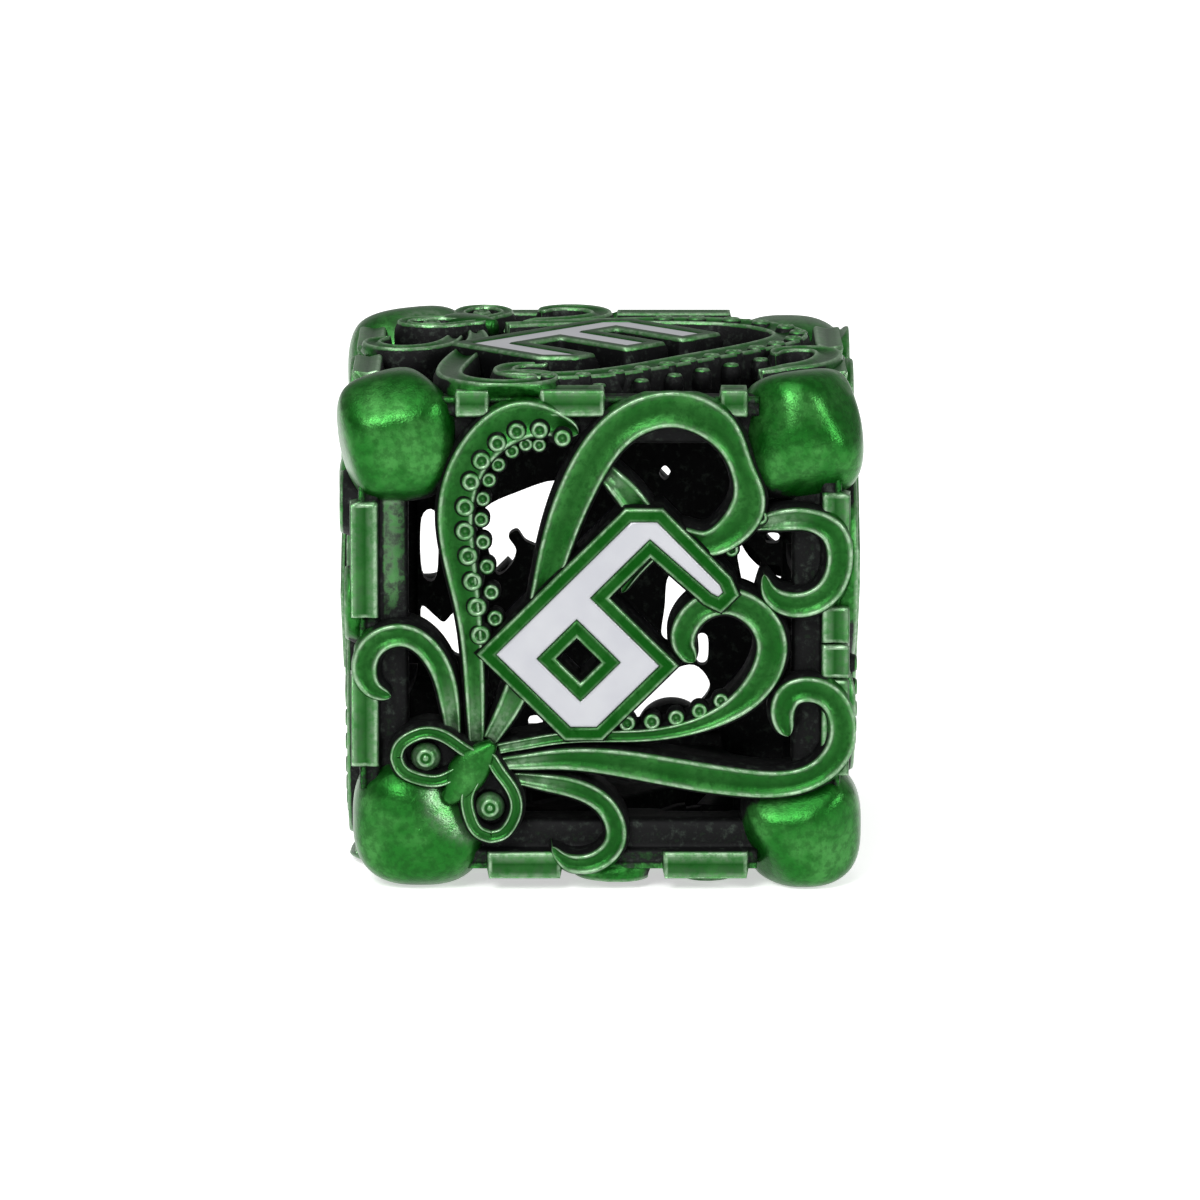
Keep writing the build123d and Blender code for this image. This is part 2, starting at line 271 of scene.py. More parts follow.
arm_lacquer = lacquer("green_lacquer")
knob_lacquer = lacquer("knob_lacquer", 0.3, speckle=0.7)
plate_lacquer = lacquer("plate_lacquer", 0.42, speckle=0.4, metallic=0.9)
white_enamel = enamel_material()

# --------------------------------------------------------------------------------------- mesh tools

# number: x direction of the face, its outward direction, the turn of the number in degrees
FACES = {
    6: ((1, 0, 0), (0, -1, 0), -45),
    3: ((0, -1, 0), (0, 0, 1), -135),
    5: ((0, 0, 1), (1, 0, 0), -45),
    2: ((0, 1, 0), (-1, 0, 0), -45),
    4: ((-1, 0, 0), (0, 0, -1), -135),
    1: ((0, 0, -1), (0, 1, 0), -45),
}


def on_face(number, points):
    """Points of a face's frame in the cube's frame, still in millimetres."""
    across, outward, _ = (np.array(v, float) for v in FACES[number])
    up = np.cross(outward, across)
    p = np.asarray(points, float)
    return p[:, :1] * across + p[:, 1:2] * up + p[:, 2:3] * outward


class Shape:
    """Vertices in millimetres, faces, and the wash and painted shade, rub and pool of each vertex."""

    def __init__(self):
        self.points, self.values, self.faces = [], [], []
        self.count = 0

    def add(self, points, faces, wash=0.0, rub=0.0, pool=0.0):
        points = np.asarray(points, float)
        values = np.zeros((len(points), 3))
        values[:, 0], values[:, 1], values[:, 2] = wash, rub, pool
        self.points.append(points)
        self.values.append(values)
        self.faces += [[i + self.count for i in face] for face in faces]
        self.count += len(points)

    def grid(self, points, wash, rub, pool, closed=False, capped=True):
        """A tube of quads through points[ring][place], closed on itself, capped or left open."""
        rows, columns = points.shape[:2]
        faces = []
        for r in range(rows if closed else rows - 1):
            for c in range(columns):
                r1, c1 = (r + 1) % rows, (c + 1) % columns
                faces.append((r * columns + c, r1 * columns + c, r1 * columns + c1, r * columns + c1))
        if capped and not closed:
            faces.append(tuple(range(columns)))
            faces.append(tuple((rows - 1) * columns + c for c in reversed(range(columns))))
        flat = [np.broadcast_to(v, (rows, columns)).ravel() for v in (wash, rub, pool)]
        self.add(points.reshape(-1, 3), faces, *flat)

    def placed(self, number):
        """The same shape, turned from a face's frame to the cube's."""
        self.points = [on_face(number, p) for p in self.points]
        return self


def make_piece(name, shape, material, slot, *nodes):
    """Makes the Blender object and stands it for its CAD nodes; its slot is not used."""
    points = np.concatenate(shape.points)
    points = np.clip(points, -HALF, HALF) * MM
    values = np.concatenate(shape.values)
    mesh = bpy.data.meshes.new(name)
    mesh.from_pydata([tuple(p) for p in points], [], shape.faces)
    for k, value in enumerate(("wash", "rub", "pool")):
        layer = mesh.attributes.new(value, "FLOAT", "POINT")
        layer.data.foreach_set("value", values[:, k].astype(np.float32))
    mesh.polygons.foreach_set("use_smooth", [True] * len(mesh.polygons))
    mesh.materials.append(material)
    mesh.validate()
    piece = bpy.data.objects.new(name, mesh)
    bpy.context.scene.collection.objects.link(piece)
    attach(piece, "root")
    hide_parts(*nodes)


def smooth_steps(value, low, high):
    """Rises smoothly from 0 at low to 1 at high."""
    t = np.clip((value - low) / (high - low), 0, 1)
    return t * t * (3 - 2 * t)


def natural_spline(knots, values, at):
    """A natural cubic spline through values at knots."""
    n = len(knots)
    gap = np.diff(knots)
    system = np.eye(n)
    right = np.zeros((n, values.shape[1]))
    slope = np.diff(values, axis=0) / gap[:, None]
    for i in range(1, n - 1):
        system[i, i - 1 : i + 2] = gap[i - 1], 2 * (gap[i - 1] + gap[i]), gap[i]
        right[i] = 6 * (slope[i] - slope[i - 1])
    bend = np.linalg.solve(system, right)
    k = np.clip(np.searchsorted(knots, at, side="right") - 1, 0, n - 2)
    h = gap[k][:, None]
    a = (knots[k + 1] - at)[:, None] / h
    b = 1 - a
    curve = a * values[k] + b * values[k + 1]
    return curve + ((a**3 - a) * bend[k] + (b**3 - b) * bend[k + 1]) * h * h / 6


def centreline(points, step=0.07):
    """Evenly spaced places, left-hand directions and the other values along a line of points."""
    points = np.array(points, float)
    knots = np.concatenate([[0], np.cumsum(np.linalg.norm(np.diff(points[:, :2], axis=0), axis=1))])
    fine = natural_spline(knots, points, np.linspace(0, knots[-1], 600))
    length = np.concatenate([[0], np.cumsum(np.linalg.norm(np.diff(fine[:, :2], axis=0), axis=1))])
    even = np.linspace(0, length[-1], max(int(length[-1] / step), 8))
    line = np.column_stack([np.interp(even, length, fine[:, k]) for k in range(points.shape[1])])
    ahead = np.gradient(line[:, :2], axis=0)
    ahead /= np.linalg.norm(ahead, axis=1)[:, None]
    sideways = np.column_stack([-ahead[:, 1], ahead[:, 0]])
    return line, sideways, even


# ---------------------------------------------------------------------------------------------- arms

ARM_TOP = 8.3
ARM_THICKNESS = 1.6
LAYER_STEP = 0.03  # how much lower each next arm of a group lies, so that no two tops coincide
FLARE = 0.1  # how much wider an arm is at its foot, on each side
RIM = 0.15  # width of the rounded rim on each edge of an arm
DISH = 0.22  # depth of the groove between the rims, as a part of the arm's half width
EDGE_START, EDGE_END = 7.1, 7.7  # between these the upper side wall of an arm turns from black to green
GREEN_WALL = 0.65  # depth of that green wall, because it shows on the next face
HEAD_DIP, TIP_DIP = 1.2, 1.6  # lengths over which an arm's head end and its tip dip
PALE_LENGTH = 2.2  # length over which an arm is rubbed pale beside the head

# Each arm is a list of (x, y, width) along its centreline, from the head to the tip
LEFT_CURL = [
    (-4.75, -3.3, 0.5), (-4.9, -1.9, 0.68), (-5.25, -0.85, 0.74), (-6.3, 0.03, 0.76),
    (-7.35, -0.35, 0.82), (-7.6, -1.1, 0.82), (-7.3, -1.75, 0.6), (-6.75, -1.97, 0.3),
]
LEFT_ARM = [
    (-4.0, -3.55, 0.5), (-4.05, -1.5, 0.68), (-4.2, 0.5, 0.8), (-4.5, 2.4, 1.05),
    (-4.65, 4.0, 1.15), (-4.0, 6.0, 1.2), (-2.4, 7.1, 1.25), (-0.7, 6.6, 0.5),
]
ARCH_ARM = [
    (-3.55, -3.45, 0.5), (-2.8, -2.0, 0.8), (-2.0, 0.5, 0.85), (-1.4, 3.0, 1.05),
    (-0.65, 5.0, 1.2), (0.8, 6.95, 1.2), (2.5, 7.43, 1.2), (3.9, 6.75, 1.1),
    (4.6, 5.4, 0.8), (4.78, 4.45, 1.1), (4.2, 3.45, 1.05), (3.3, 3.05, 0.85),
    (2.4, 3.25, 0.75), (1.5, 2.6, 0.5), (0.7, 1.4, 0.2),
]
INNER_ARM = [
    (-0.3, 5.7, 0.5), (0.6, 4.95, 0.75), (1.3, 4.05, 0.85), (1.9, 3.0, 0.6),
]
RIGHT_ARM = [
    (-3.3, -3.75, 0.35), (-1.0, -3.32, 0.4), (1.5, -3.25, 0.42), (3.6, -2.75, 0.6),
    (5.1, -1.6, 0.95), (5.5, 0.0, 1.0), (4.2, 1.15, 0.9), (2.85, 0.5, 0.85),
    (2.7, -0.35, 0.75), (3.05, -0.85, 0.5),
]
LOW_ARM = [
    (-3.3, -4.25, 0.4), (-1.0, -4.03, 0.75), (1.6, -4.33, 0.95), (4.5, -4.8, 0.95),
    (7.1, -4.45, 0.85), (7.85, -3.2, 0.9), (7.2, -1.85, 0.85), (6.1, -1.95, 0.85),
    (5.9, -2.7, 0.75), (6.1, -3.25, 0.5),
]
BOTTOM_CURL = [
    (-2.8, -4.75, 0.4), (-1.1, -4.95, 0.65), (0.2, -5.65, 0.68), (0.5, -6.75, 0.7),
    (-0.3, -7.5, 0.68), (-1.15, -7.4, 0.5), (-1.55, -6.95, 0.15),
]
CORNER_CURL = [
    (4.95, 3.6, 0.35), (5.75, 3.8, 0.7), (6.75, 3.82, 0.75), (7.5, 3.4, 0.85),
    (7.72, 2.5, 0.85), (7.2, 1.35, 0.85), (6.25, 1.04, 0.83), (5.5, 1.4, 0.6), (5.28, 2.05, 0.15),
]
SWEEPING_ARM = [
    (-3.6, -3.1, 0.65), (-4.1, -1.0, 0.75), (-4.5, 2.0, 1.0), (-3.9, 4.9, 1.15),
    (-1.8, 6.3, 1.2), (0.6, 5.3, 1.2), (2.9, 3.2, 1.15), (5.2, 1.0, 1.1),
    (6.4, -1.3, 1.0), (5.8, -3.0, 0.8), (4.5, -2.8, 0.65), (4.4, -1.7, 0.3),
]
TOP_CURL = [
    (4.9, 5.2, 0.4), (4.2, 6.6, 0.8), (2.7, 7.4, 0.95), (1.1, 7.1, 0.85),
    (1.3, 5.95, 0.6), (2.2, 5.75, 0.2),
]
BACK_ARM = [
    (-3.7, -3.2, 0.65), (-4.4, -0.8, 0.9), (-4.1, 2.0, 1.15), (-3.1, 4.3, 1.25),
    (-1.0, 4.85, 1.2), (0.6, 4.75, 1.0), (1.35, 5.3, 0.7), (1.3, 6.3, 0.3),
]

# Arms are (centreline, how far its head end dips under what lies over it, how far its tip dips).
# Suckers are (arm, first and last place as parts of its length, count, offset from its centreline,
# radius, height of their tops).
WIDE = {
    "sucker_arms": [
        (ARCH_ARM, 0.3, 0.35), (LEFT_ARM, 0.3, 0.35), (RIGHT_ARM, 0.2, 0.15), (INNER_ARM, 0.5, 0.5),
    ],
    "curled_arms": [
        (LOW_ARM, 0.2, 0.0), (CORNER_CURL, 0.3, 0.0), (LEFT_CURL, 0.3, 0.0), (BOTTOM_CURL, 0.3, 0.0),
    ],
    "suckers": [
        (LEFT_ARM, 0.27, 0.97, 12, -0.3, 0.35, 8.34),
        (LEFT_ARM, 0.3, 0.92, 11, -0.82, 0.29, 8.05),
        (RIGHT_ARM, 0.22, 0.49, 6, 0.42, 0.31, 8.2),
        (ARCH_ARM, 0.77, 0.82, 2, 0.5, 0.27, 8.15),
    ],
}
DIAGONAL = {
    "sucker_arms": [(SWEEPING_ARM, 0.0, 0.0)],
    "curled_arms": [
        (LOW_ARM, 0.2, 0.0), (TOP_CURL, 0.1, 0.0), (LEFT_CURL, 0.3, 0.0), (BOTTOM_CURL, 0.3, 0.0),
    ],
    "suckers": [
        (SWEEPING_ARM, 0.2, 0.85, 17, 0.3, 0.35, 8.34),
        (SWEEPING_ARM, 0.54, 0.8, 6, 0.84, 0.29, 8.05),
    ],
}
BACK = {
    "sucker_arms": [(BACK_ARM, 0.0, 0.0)],
    "curled_arms": [
        (LOW_ARM, 0.2, 0.0), (CORNER_CURL, 0.1, 0.0), (LEFT_CURL, 0.3, 0.0), (BOTTOM_CURL, 0.3, 0.0),
    ],
    "suckers": [(BACK_ARM, 0.2, 0.75, 10, -0.3, 0.32, 8.3)],
}
LAYOUTS = {6: WIDE, 3: DIAGONAL, 5: WIDE, 2: WIDE, 4: DIAGONAL, 1: BACK}


def arm_section(half):
    """Across-and-depth points of an arm of this half width, with the wash and painted shade, rub and pool
    of each.
    """
    rim = min(RIM, half * 0.42)
    floor = half - rim
    dish = DISH * half
    rows = [  # distance in from the edge, depth, wash with painted shade, rub, pool
        # The side walls are black: antique wash together with painted shade in the crevice beside each
        # arm.
        (-FLARE, -ARM_THICKNESS, 1.0, 0.0, 0.0),
        (-FLARE, -0.6, 1.0, 0.0, 0.0),
        (-0.8 * FLARE, -0.3, 1.0, 0.0, 0.0),
        (-0.1 * FLARE, -0.14, 0.9, 0.0, 0.0),
        (rim * 0.1, -0.08, 0.3, 0.3, 0.0),
        (rim * 0.3, -0.02, 0.0, 0.8, 0.0),
        (rim * 0.55, 0.0, 0.0, 0.9, 0.0),
        (rim * 0.85, -0.02, 0.0, 0.5, 0.0),
        (rim * 1.1, -0.06, 0.0, 0.1, 0.15),
    ]
    side = [(half - inward, depth, wash, rub, pool) for inward, depth, wash, rub, pool in rows]
    for part in (0.75, 0.45, 0.0):  # part of the way from the middle of the groove to its edge
        depth = -0.06 - dish * (1 - part * part) ** 1.3
        side.append((part * floor, depth, 0.0, 0.0, 0.15 + 0.85 * (1.0 - part**1.5)))
    mirrored = [(-x, z, w, r, p) for x, z, w, r, p in reversed(side[:-1])]
    return np.array(side + mirrored)


def add_arm(shape, points, dip_start=0.0, dip_end=0.0, top=ARM_TOP, closed=False):
    """Sweeps an arm's section along its centreline and rounds its tip."""
    line, sideways, along = centreline(points)
    length = along[-1]
    half = np.maximum(line[:, 2] / 2, 0.04)
    if not closed:
        tip = half[-1] + 0.12
        left = np.clip(1 - (length - along) / tip, 0, 1)
        half = half * np.sqrt(np.clip(1 - left**2, 0.02, 1))
    drop = dip_start * (1 - smooth_steps(along, 0.0, HEAD_DIP))
    drop = drop + dip_end * smooth_steps(along, length - TIP_DIP, length)
    rows = []
    values = []
    for (x, y), (sx, sy), h, d in zip(line[:, :2], sideways, half, drop):
        section = arm_section(h)
        across = section[:, 0]
        rows.append(np.column_stack([x + sx * across, y + sy * across, top - d + section[:, 1]]))
        values.append(section[:, 2:])
    rows, values = np.array(rows), np.array(values)
    outside = smooth_steps(np.abs(rows[..., :2]).max(-1), EDGE_START, EDGE_END)
    values[..., 0] *= 1 - 0.9 * outside * (rows[..., 2] > top - GREEN_WALL)
    if not closed:
        pale = 0.5 * (1 - smooth_steps(along, 0, PALE_LENGTH))
        values[..., 1] = np.maximum(values[..., 1], pale[:, None])
    rows[..., :2] = np.clip(rows[..., :2], -rows[..., 2:], rows[..., 2:])  # a mitre along the cube's edges
    shape.grid(rows, values[..., 0], values[..., 1], values[..., 2], closed)


def make_arms():
    """Two pieces of arms on every face."""
    for number, layout in LAYOUTS.items():
        for group in ("sucker_arms", "curled_arms"):
            shape = Shape()
            for level, (points, dip_start, dip_end) in enumerate(layout[group]):
                add_arm(shape, points, dip_start, dip_end, ARM_TOP - LAYER_STEP * level)
            node = f"{group}_{number}"
            make_piece(f"{group}_look_{number}", shape.placed(number), arm_lacquer, "green_lacquer", node)


# ------------------------------------------------------------------------------------------- suckers

# A sucker's section as parts of its radius, from the middle out, then down its side
SUCKER_ROWS = [  # radius, height, wash with painted shade, rub, pool
    (0.0, -0.3, 0.0, 0.2, 0.4),
    (0.2, -0.34, 0.1, 0.0, 1.0),
    (0.36, -0.34, 0.35, 0.0, 1.0),
    (0.48, -0.14, 0.1, 0.3, 0.4),
    (0.6, 0.0, 0.0, 0.9, 0.0),
    (0.76, -0.02, 0.0, 0.5, 0.0),
    # The sucker's foot is black: wash together with painted shade beside it.
    (0.88, -0.16, 0.25, 0.2, 0.0),
    (0.95, -0.34, 0.9, 0.0, 0.0),
    (1.12, -0.75, 1.0, 0.0, 0.0),
    (1.12, -2.4, 1.0, 0.0, 0.0),
]
SUCKER_SEGMENTS = 20
SUCKER_TAPER = 0.15  # how much smaller the suckers of a row get towards its end, as a part of their radius


def add_sucker(shape, x, y, top, radius):
    """A small ring with a dimple."""
    turn = np.linspace(0, 2 * math.pi, SUCKER_SEGMENTS, endpoint=False)
    rows = np.array(SUCKER_ROWS[::-1])
    points = np.zeros((len(rows), SUCKER_SEGMENTS, 3))
    for k, (r, z, *_) in enumerate(rows):
        points[k, :, 0] = x + max(r, 0.02) * radius * np.cos(turn)
        points[k, :, 1] = y + max(r, 0.02) * radius * np.sin(turn)
        points[k, :, 2] = top + z * radius
    shape.grid(points, rows[:, 2:3], rows[:, 3:4], rows[:, 4:5])


def make_suckers():
    """One piece of suckers on every face, in rows along its arms."""
    for number, layout in LAYOUTS.items():
        shape = Shape()
        for points, first, last, count, offset, radius, top in layout["suckers"]:
            line, sideways, _ = centreline(points)
            for k in range(count):
                place = first + (last - first) * k / (count - 1)
                i = int(place * (len(line) - 1))
                x, y = line[i, :2] + sideways[i] * offset
                add_sucker(shape, x, y, top, radius * (1 - SUCKER_TAPER * k / count))
        make_piece(
            f"suckers_look_{number}", shape.placed(number), arm_lacquer, "green_lacquer",
            f"suckers_{number}",
        )


# ----------------------------------------------------------------------------------- knobs and heads

# The powers in the rounded cubes: 2 is a ball, and more is more like a cube
KNOB_SQUARENESS = 2.9
MANTLE_SQUARENESS = 2.7
FACET_SHARPNESS = 13.0  # how sharply the facets meet

# Facets of the rounded corners: direction from the middle, distance in radii
KNOB_FACETS = [
    ((0.1, -1.0, 0.25), 0.97), ((0.75, -0.6, 0.55), 0.93), ((-0.6, -0.75, 0.15), 0.95),
    ((0.15, -0.8, -0.65), 0.94), ((0.9, 0.3, 0.2), 0.95), ((-0.2, 0.3, 0.95), 0.95),
]
MANTLE_FACETS = [((-0.3, -0.2, 1.0), 0.95), ((0.5, 0.4, 0.9), 0.96)]

WORN_SIDE = np.array([0.64, 0.44, 0.63])  # direction from the middle of the ring where lacquer is rubbed
WORN_RING, WORN_WIDTH = 0.86, 0.07  # cosine of that ring's angle from the direction, and its width
WORN_RUB = 0.45
TALLER = 0.3  # how much further some corners reach along the upright edges than in the CAD model
TALL_MANTLE = 2  # the face whose mantle is such a corner


def add_dome(shape, centre, radius, squareness, facets):
    """A rounded cube, flattened softly by its facets and stretched to its radius or three radii."""
    rings, segments = 72, 96
    down = np.linspace(0, math.pi, rings)
    turn = np.linspace(0, 2 * math.pi, segments, endpoint=False)
    d = np.zeros((rings, segments, 3))
    d[..., 0] = np.sin(down)[:, None] * np.cos(turn)
    d[..., 1] = np.sin(down)[:, None] * np.sin(turn)
    d[..., 2] = np.cos(down)[:, None]
    reach = (np.abs(d) ** squareness).sum(-1) ** (-1 / squareness)
    total = reach**-FACET_SHARPNESS
    for direction, distance in facets:
        direction = np.array(direction, float) / np.linalg.norm(direction)
        facing = np.clip(d @ direction, 0.02, None)
        total = total + (distance / facing) ** -FACET_SHARPNESS
    soft = total ** (-1 / FACET_SHARPNESS)
    points = d * soft[..., None]
    low, high = points.min((0, 1)), points.max((0, 1))
    points = np.array(centre) + (2 * (points - low) / (high - low) - 1) * radius
    outward = np.sign(centre) / math.sqrt(3)
    # The side facing the middle of the cube is painted dark: painted shade inside the hollow die.
    wash = smooth_steps(-(d @ outward), 0.1, 0.5)
    worn = np.exp(-(((d @ WORN_SIDE - WORN_RING) / WORN_WIDTH) ** 2)) * smooth_steps(d[..., 2], 0.3, 0.55)
    shape.grid(points, wash, WORN_RUB * worn, 0.0)


def make_knobs():
    """The two rounded corners that carry no head."""
    for name, signs in {"top_right_knob": (1, -1, 1), "back_left_knob": (-1, 1, -1)}.items():
        low, high = (np.array(corner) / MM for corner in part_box(name))
        radius = (high - low) / 2 + [0, 0, TALLER / 2]
        centre = (low + high) / 2 - [0, 0, signs[2] * TALLER / 2]
        shape = Shape()
        add_dome(shape, centre, radius, KNOB_SQUARENESS, KNOB_FACETS)
        make_piece(f"{name}_look", shape, knob_lacquer, "green_lacquer", name)


MANTLE = (-5.85, -6.3, 4.4)  # x, y, size
SMALL_MANTLES = {2: (-6.5, -6.5, 3.95), 4: (-6.52, -6.5, 3.95)}  # faces whose mantle is smaller
EYE_RIM = [  # x, y, width
    (-6.58, -3.95, 0.42), (-6.5, -3.62, 0.42), (-6.15, -3.3, 0.42), (-5.5, -3.12, 0.42),
    (-4.9, -3.33, 0.42), (-4.3, -3.75, 0.42), (-3.95, -4.0, 0.42), (-4.55, -4.42, 0.42),
    (-5.25, -4.72, 0.42), (-5.95, -4.62, 0.42), (-6.42, -4.34, 0.42), (-6.58, -3.95, 0.42),
]
RIM_TOP = 8.42
SOCKET_FLOOR = 7.8
EYE_BALL = (-5.63, -3.98)  # x, y of the upper one
EYE_BALL_BASE = 7.9
EYE_BALL_RADIUS = 0.5
EYE_SHIFT = 0.42  # how much further out the lower eye lies than a mirror image of the upper one
BRIDGE = [  # x, y, width, height of its top
    (-5.0, -5.45, 0.5, 8.25), (-4.65, -5.05, 0.95, 8.44), (-4.3, -4.5, 1.3, 8.5),
    (-3.9, -4.0, 1.05, 8.5), (-3.45, -3.5, 0.35, 8.44),
]
BRIDGE_DEPTH = 0.5


def lower_eye(points):
    """The lower eye mirrors the upper one about the diagonal of the face."""
    return [(y + EYE_SHIFT, x, *rest) for x, y, *rest in points]


def add_eye_floor(shape, rim, depth):
    """The bottom of an eye socket, black with wash and painted shade."""
    loop = np.array([(x, y, depth) for x, y, *_ in rim[:-1]])
    count = len(loop)
    fan = [(k, (k + 1) % count, count) for k in range(count)]
    shape.add(np.vstack([loop, loop.mean(0)]), fan, wash=1.0)


def add_ridge(shape, points, depth):
    """A smooth rounded ridge along a line of (x, y, width, height of its top)."""
    line, sideways, _ = centreline(points)
    turn = np.linspace(0, math.pi, 17)
    rows = []
    for (x, y, width, height), (sx, sy) in zip(line, sideways):
        across = np.cos(turn) * width / 2
        up = height - depth * (1 - np.sqrt(np.sin(turn)))
        rows.append(np.column_stack([x + sx * across, y + sy * across, up]))
    ridge = np.sin(turn)
    # Its edges are darkened with wash and painted shade where it meets what lies round it.
    shape.grid(np.array(rows), 0.6 * (1 - ridge) ** 2, 0.0, 0.7 * (1 - ridge**6))


def add_ball(shape, x, y, z, radius):
    """An eyeball with a raised ring round its pupil."""
    rows = [  # radius, height, wash with painted shade, rub, pool
        (0.0, 0.98, 0.0, 0.7, 0.0), (0.14, 0.96, 0.0, 0.6, 0.0), (0.2, 0.9, 0.1, 0.0, 1.0),
        (0.34, 0.86, 0.1, 0.0, 1.0), (0.42, 0.96, 0.0, 0.6, 0.0), (0.52, 0.94, 0.0, 0.8, 0.0),
        (0.62, 0.8, 0.2, 0.2, 0.3), (0.8, 0.66, 0.0, 0.5, 0.0), (0.92, 0.45, 0.2, 0.4, 0.0),
        (1.0, 0.1, 0.9, 0.0, 0.0), (1.0, -0.6, 1.0, 0.0, 0.0),
    ]
    turn = np.linspace(0, 2 * math.pi, 32, endpoint=False)
    rows = np.array(rows[::-1])
    points = np.zeros((len(rows), len(turn), 3))
    points[..., 0] = x + np.maximum(rows[:, :1], 0.02) * radius * np.cos(turn)
    points[..., 1] = y + np.maximum(rows[:, :1], 0.02) * radius * np.sin(turn)
    points[..., 2] = z + rows[:, 1:2] * radius
    shape.grid(points, rows[:, 2:3], rows[:, 3:4], rows[:, 4:5])


def make_heads():
    """A mantle, two rimmed sockets, the bridge between them and two eyeballs on every face."""
    for number in FACES:
        shape = Shape()
        x, y, size = SMALL_MANTLES.get(number, MANTLE)
        squareness, facets = MANTLE_SQUARENESS, MANTLE_FACETS
        if number in SMALL_MANTLES:
            squareness, facets = KNOB_SQUARENESS, KNOB_FACETS
        taller = TALLER if number == TALL_MANTLE else 0.0
        radius = np.array([size, size + taller, size]) / 2
        add_dome(shape, (x, y + taller / 2, HALF - size / 2), radius, squareness, facets)
        for rim in (EYE_RIM, lower_eye(EYE_RIM)):
            add_arm(shape, rim, top=RIM_TOP, closed=True)
            add_eye_floor(shape, rim, SOCKET_FLOOR)
        add_ridge(shape, BRIDGE, BRIDGE_DEPTH)
        make_piece(
            f"octopus_head_look_{number}", shape.placed(number), knob_lacquer, "green_lacquer",
            f"octopus_head_{number}",
        )
        eyes = Shape()
        for x, y in (EYE_BALL, lower_eye([EYE_BALL])[0]):
            add_ball(eyes, x, y, EYE_BALL_BASE, EYE_BALL_RADIUS)
        make_piece(
            f"octopus_eyes_look_{number}", eyes.placed(number), arm_lacquer, "eye_lacquer",
            f"octopus_eyes_{number}",
        )


# ------------------------------------------------------------------------------------ number plates

# The enamel's strokes, before the number is turned
STROKE = 0.9
BORDER = 0.43  # how much wider the plate is than the enamel, on each side
LEFT, RIGHT = -2.0, 2.0
BOTTOM, MIDDLE, TOP = -2.75, 0.3, 4.0
CHAMFER = 0.6
PLATE_DEPTH = 1.9


def number_loops(number):
    """The enamel's outline: its outer loop anticlockwise, then a hole clockwise where there is one."""
    s, h = STROKE, STROKE / 2
    mid_low, mid_high = MIDDLE - h, MIDDLE + h
    if number == 1:
        foot = 1.5 * s
        return [[
            (-foot, BOTTOM), (foot, BOTTOM), (foot, BOTTOM + s), (h, BOTTOM + s), (h, TOP),
            (-foot, TOP), (-foot, TOP - s), (-h, TOP - s), (-h, BOTTOM + s), (-foot, BOTTOM + s),
        ]]
    corner_low = [(RIGHT - CHAMFER, BOTTOM), (RIGHT, BOTTOM + CHAMFER)]
    corner_high = [(LEFT + CHAMFER, TOP), (LEFT, TOP - CHAMFER)]
    if number == 2:
        return [[
            (LEFT, BOTTOM), *corner_low, (RIGHT, BOTTOM + s), (LEFT + s, BOTTOM + s), (LEFT + s, mid_low),
            (RIGHT, mid_low), (RIGHT, TOP), *corner_high, (LEFT, TOP - s), (RIGHT - s, TOP - s),
            (RIGHT - s, mid_high), (LEFT, mid_high),
        ]]
    if number == 3:
        return [[
            (LEFT, BOTTOM), *corner_low, (RIGHT, TOP), *corner_high, (LEFT, TOP - s),
            (RIGHT - s, TOP - s), (RIGHT - s, mid_high), (LEFT, mid_high), (LEFT, mid_low),
            (RIGHT - s, mid_low), (RIGHT - s, BOTTOM + s), (LEFT, BOTTOM + s),
        ]]
    if number == 4:
        return [[
            (RIGHT - s, BOTTOM), (RIGHT, BOTTOM), (RIGHT, TOP), (RIGHT - s, TOP), (RIGHT - s, mid_high),
            (LEFT + s, mid_high), (LEFT + s, TOP), (LEFT, TOP), (LEFT, mid_low), (RIGHT - s, mid_low),
        ]]
    if number == 5:
        return [[
            (LEFT, BOTTOM), *corner_low, (RIGHT, mid_high), (LEFT + s, mid_high), (LEFT + s, TOP - s),
            (RIGHT, TOP - s), (RIGHT, TOP), *corner_high, (LEFT, mid_low), (RIGHT - s, mid_low),
            (RIGHT - s, BOTTOM + s), (LEFT, BOTTOM + s),
        ]]
    outer = [
        (LEFT, BOTTOM), *corner_low, (RIGHT, 0.72), (LEFT + 0.85, 0.72), (LEFT + 0.85, 3.42),
        (1.5, 3.57), (1.74, 3.65), (1.74, 3.87), (1.5, 3.97), *corner_high,
    ]
    hole = [(-0.96, -1.91), (-0.96, -0.1), (1.02, -0.1), (1.02, -1.91)]
    return [outer, hole]


def grow(loop, distance):
    """Moves every side of a loop outward; a negative distance moves it inward."""
    loop = np.array(loop, float)
    grown = []
    for k in range(len(loop)):
        before = loop[k] - loop[k - 1]
        after = loop[(k + 1) % len(loop)] - loop[k]
        n1 = np.array([before[1], -before[0]]) / np.linalg.norm(before)
        n2 = np.array([after[1], -after[0]]) / np.linalg.norm(after)
        mitre = (n1 + n2) / max(1 + n1 @ n2, 0.35)
        grown.append(loop[k] + mitre * distance)
    return np.array(grown)


def spread_points(loop, moved, step=0.25):
    """Points along the moved sides of a loop, as many on each side as the loop's own length asks for."""
    points = []
    for k, start in enumerate(moved):
        end = moved[(k + 1) % len(moved)]
        side = np.subtract(loop[(k + 1) % len(loop)], loop[k])
        count = max(int(np.linalg.norm(side) / step), 1)
        points += [start + (end - start) * i / count for i in range(count)]
    return np.array(points)


def at_height(ring, height):
    """A flat ring of points, at this height."""
    return np.column_stack([ring, np.full(len(ring), height)])


